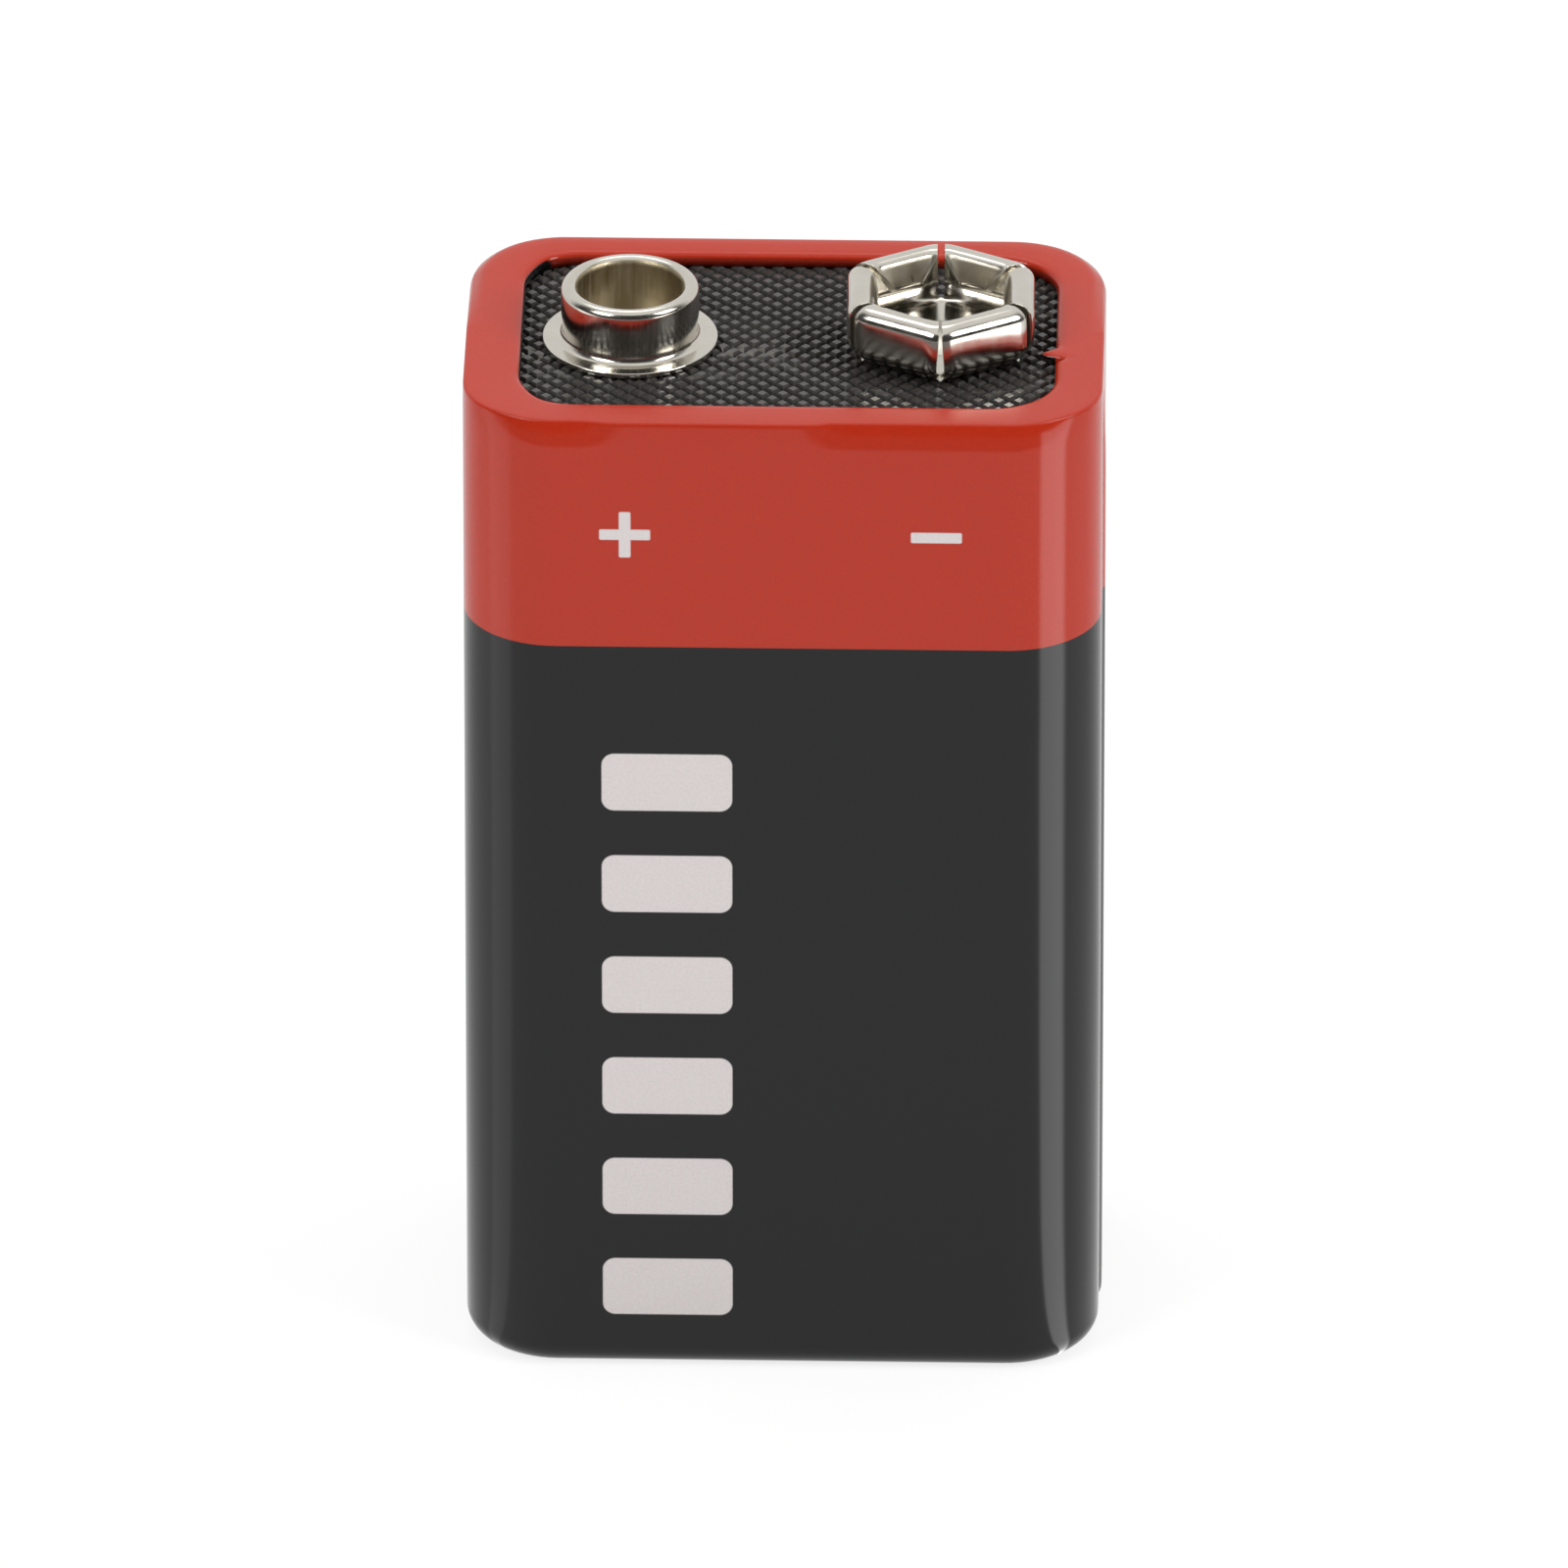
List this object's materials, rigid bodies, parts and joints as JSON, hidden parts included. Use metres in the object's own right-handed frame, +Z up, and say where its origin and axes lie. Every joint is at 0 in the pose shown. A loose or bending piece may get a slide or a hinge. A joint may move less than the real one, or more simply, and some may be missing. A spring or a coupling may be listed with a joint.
{
  "type": "nine volt battery",
  "caption": "Rectangular nine volt battery in a printed sleeve, with a round snap stud and a petalled snap socket on its top.",
  "frame": {"origin": "middle of the underside, on the surface that the battery stands on", "axes": "+Z up to the terminals, +X from the positive stud to the negative socket, -Y out of the wide front face"},
  "size_m": [0.0265, 0.0176, 0.0464],
  "materials": {
    "printed_film": "glossy printed film, red over charcoal",
    "jacket_steel": "bright tinplate",
    "liner_paper": "matt kraft paper",
    "board_laminate": "black embossed laminate, semi-gloss",
    "base_laminate": "black laminate, semi-gloss",
    "terminal_nickel": "bright nickel plate with draw marks",
    "rivet_nickel": "nickel plate, satin",
    "strip_nickel": "plain nickel strip, satin",
    "pad_card": "matt grey card",
    "cell_steel": "nickel-plated steel can, satin"
  },
  "bodies": {
    "root": {"label_sleeve": "printed_film", "steel_jacket": "jacket_steel", "insulating_liner": "liner_paper", "terminal_board": "board_laminate", "base_plate": "base_laminate", "positive_stud": "terminal_nickel", "negative_socket": "terminal_nickel", "stud_rivet": "rivet_nickel", "socket_rivet": "rivet_nickel", "positive_lead": "strip_nickel", "negative_lead": "strip_nickel", "upper_pad": "pad_card", "lower_pad": "pad_card", "cell_1": "cell_steel", "cell_2": "cell_steel", "cell_3": "cell_steel", "cell_4": "cell_steel", "cell_5": "cell_steel", "cell_6": "cell_steel", "cell_strip_1_2": "strip_nickel", "cell_strip_2_3": "strip_nickel", "cell_strip_3_4": "strip_nickel", "cell_strip_4_5": "strip_nickel", "cell_strip_5_6": "strip_nickel"}
  },
  "joints": []
}
